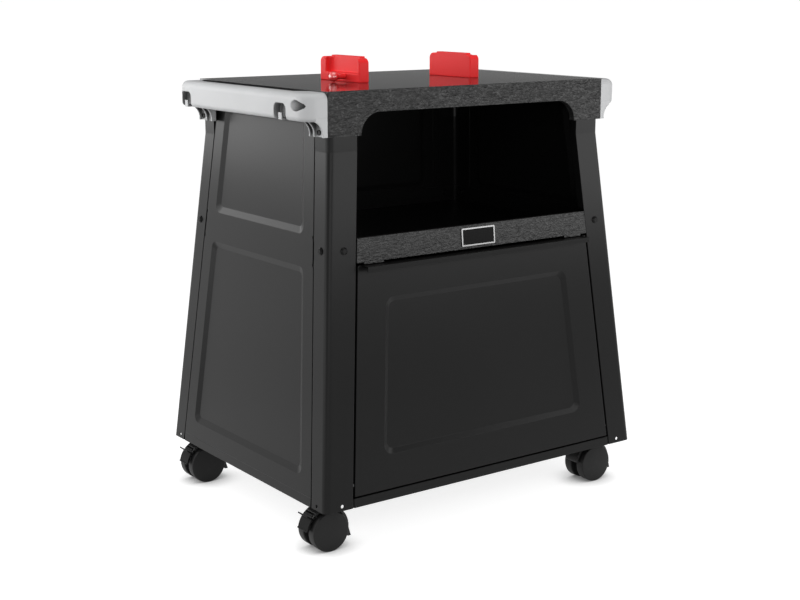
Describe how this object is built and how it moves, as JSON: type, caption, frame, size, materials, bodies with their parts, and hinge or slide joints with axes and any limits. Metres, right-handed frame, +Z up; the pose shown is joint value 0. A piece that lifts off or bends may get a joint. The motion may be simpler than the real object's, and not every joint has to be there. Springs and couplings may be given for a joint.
{
  "type": "grill cart with storage",
  "caption": "Flared sheet-steel grill cart with an open upper compartment, a drop-down door, side handles, plunger locks on top and swivel casters, some with brakes.",
  "frame": {"origin": "on the floor, under the middle of the four legs", "axes": "+Z up, +X to the cart's right as seen from the front, -Y out of the door side"},
  "size_m": [0.646, 0.494, 0.741],
  "materials": {
    "satin_black_steel": "satin black powder coat",
    "hammered_black_steel": "black hammered paint",
    "gloss_black_steel": "smooth half-gloss black enamel",
    "black_fasteners": "blackened steel",
    "plated_steel": "zinc plated",
    "badge_metal": "brushed rim round a dark field",
    "handle_plastic": "fine-grained light grey",
    "red_plastic": "satin red",
    "caster_plastic": "fine-grained black",
    "wheel_plastic": "smooth black",
    "catch_plastic": "black"
  },
  "bodies": {
    "cart": {"back_panel": "satin_black_steel", "badge_plate": "badge_metal", "bottom_tray": "satin_black_steel", "caster_collars": "plated_steel", "caster_front_left_stem": "plated_steel", "caster_front_right_stem": "plated_steel", "caster_nuts": "plated_steel", "caster_rear_left_stem": "plated_steel", "caster_rear_right_stem": "plated_steel", "door_catches": "catch_plastic", "front_crossbar": "hammered_black_steel", "front_fascia": "hammered_black_steel", "grill_lock_left": "red_plastic", "grill_lock_right": "red_plastic", "handle_left": "handle_plastic", "handle_right": "handle_plastic", "handle_screws_left": "black_fasteners", "handle_screws_right": "black_fasteners", "leg_bolts": "black_fasteners", "leg_front_left": "satin_black_steel", "leg_front_right": "satin_black_steel", "leg_rear_left": "satin_black_steel", "leg_rear_right": "satin_black_steel", "lock_screws": "plated_steel", "middle_shelf": "satin_black_steel", "side_panel_left": "satin_black_steel", "side_panel_right": "satin_black_steel", "top_plate": "gloss_black_steel"},
    "door": {"door_panel": "satin_black_steel", "door_pull": "satin_black_steel", "door_hinge_pins": "plated_steel"},
    "left_plunger": {"lock_plunger_left": "red_plastic"},
    "right_plunger": {"lock_plunger_right": "red_plastic"},
    "front_left_swivel": {"caster_front_left_hood": "caster_plastic", "caster_front_left_axle": "plated_steel", "caster_front_left_pedal_pin": "plated_steel"},
    "front_left_wheel_front": {"caster_front_left_wheel_front": "wheel_plastic"},
    "front_left_wheel_rear": {"caster_front_left_wheel_rear": "wheel_plastic"},
    "front_left_brake": {"caster_front_left_brake_pedal": "caster_plastic"},
    "front_right_swivel": {"caster_front_right_hood": "caster_plastic", "caster_front_right_axle": "plated_steel"},
    "front_right_wheel_front": {"caster_front_right_wheel_front": "wheel_plastic"},
    "front_right_wheel_rear": {"caster_front_right_wheel_rear": "wheel_plastic"},
    "rear_left_swivel": {"caster_rear_left_hood": "caster_plastic", "caster_rear_left_axle": "plated_steel", "caster_rear_left_pedal_pin": "plated_steel"},
    "rear_left_wheel_front": {"caster_rear_left_wheel_front": "wheel_plastic"},
    "rear_left_wheel_rear": {"caster_rear_left_wheel_rear": "wheel_plastic"},
    "rear_left_brake": {"caster_rear_left_brake_pedal": "caster_plastic"},
    "rear_right_swivel": {"caster_rear_right_hood": "caster_plastic", "caster_rear_right_axle": "plated_steel"},
    "rear_right_wheel_front": {"caster_rear_right_wheel_front": "wheel_plastic"},
    "rear_right_wheel_rear": {"caster_rear_right_wheel_rear": "wheel_plastic"}
  },
  "joints": [
    {"name": "door_hinge", "type": "hinge", "parent": "cart", "child": "door", "pos_m": [0, -0.23674, 0.107], "axis": [1, 0, 0], "range_deg": [0, 90]},
    {"name": "left_plunger_slide", "type": "slide", "parent": "cart", "child": "left_plunger", "axis": [-1, 0, 0], "range_m": [0, 0.006], "stiffness_N_per_m": 300, "springref_m": -0.01},
    {"name": "right_plunger_slide", "type": "slide", "parent": "cart", "child": "right_plunger", "axis": [1, 0, 0], "range_m": [0, 0.006], "stiffness_N_per_m": 300, "springref_m": -0.01},
    {"name": "front_left_swivel_turn", "type": "hinge", "parent": "cart", "child": "front_left_swivel", "pos_m": [-0.277, -0.196, 0.06], "axis": [0, 0, 1], "continuous": true},
    {"name": "front_left_wheel_front_spin", "type": "hinge", "parent": "front_left_swivel", "child": "front_left_wheel_front", "pos_m": [-0.289, -0.196, 0.032], "axis": [0, 1, 0], "continuous": true},
    {"name": "front_left_wheel_rear_spin", "type": "hinge", "parent": "front_left_swivel", "child": "front_left_wheel_rear", "pos_m": [-0.289, -0.196, 0.032], "axis": [0, 1, 0], "continuous": true},
    {"name": "front_left_brake_tilt", "type": "hinge", "parent": "front_left_swivel", "child": "front_left_brake", "pos_m": [-0.31289, -0.196, 0.05853], "axis": [0, -1, 0], "range_deg": [0, 5]},
    {"name": "front_right_swivel_turn", "type": "hinge", "parent": "cart", "child": "front_right_swivel", "pos_m": [0.277, -0.196, 0.06], "axis": [0, 0, 1], "continuous": true},
    {"name": "front_right_wheel_front_spin", "type": "hinge", "parent": "front_right_swivel", "child": "front_right_wheel_front", "pos_m": [0.265, -0.196, 0.032], "axis": [0, 1, 0], "continuous": true},
    {"name": "front_right_wheel_rear_spin", "type": "hinge", "parent": "front_right_swivel", "child": "front_right_wheel_rear", "pos_m": [0.265, -0.196, 0.032], "axis": [0, 1, 0], "continuous": true},
    {"name": "rear_left_swivel_turn", "type": "hinge", "parent": "cart", "child": "rear_left_swivel", "pos_m": [-0.277, 0.196, 0.06], "axis": [0, 0, 1], "continuous": true},
    {"name": "rear_left_wheel_front_spin", "type": "hinge", "parent": "rear_left_swivel", "child": "rear_left_wheel_front", "pos_m": [-0.289, 0.196, 0.032], "axis": [0, 1, 0], "continuous": true},
    {"name": "rear_left_wheel_rear_spin", "type": "hinge", "parent": "rear_left_swivel", "child": "rear_left_wheel_rear", "pos_m": [-0.289, 0.196, 0.032], "axis": [0, 1, 0], "continuous": true},
    {"name": "rear_left_brake_tilt", "type": "hinge", "parent": "rear_left_swivel", "child": "rear_left_brake", "pos_m": [-0.31289, 0.196, 0.05853], "axis": [0, -1, 0], "range_deg": [0, 5]},
    {"name": "rear_right_swivel_turn", "type": "hinge", "parent": "cart", "child": "rear_right_swivel", "pos_m": [0.277, 0.196, 0.06], "axis": [0, 0, 1], "continuous": true},
    {"name": "rear_right_wheel_front_spin", "type": "hinge", "parent": "rear_right_swivel", "child": "rear_right_wheel_front", "pos_m": [0.265, 0.196, 0.032], "axis": [0, 1, 0], "continuous": true},
    {"name": "rear_right_wheel_rear_spin", "type": "hinge", "parent": "rear_right_swivel", "child": "rear_right_wheel_rear", "pos_m": [0.265, 0.196, 0.032], "axis": [0, 1, 0], "continuous": true}
  ]
}
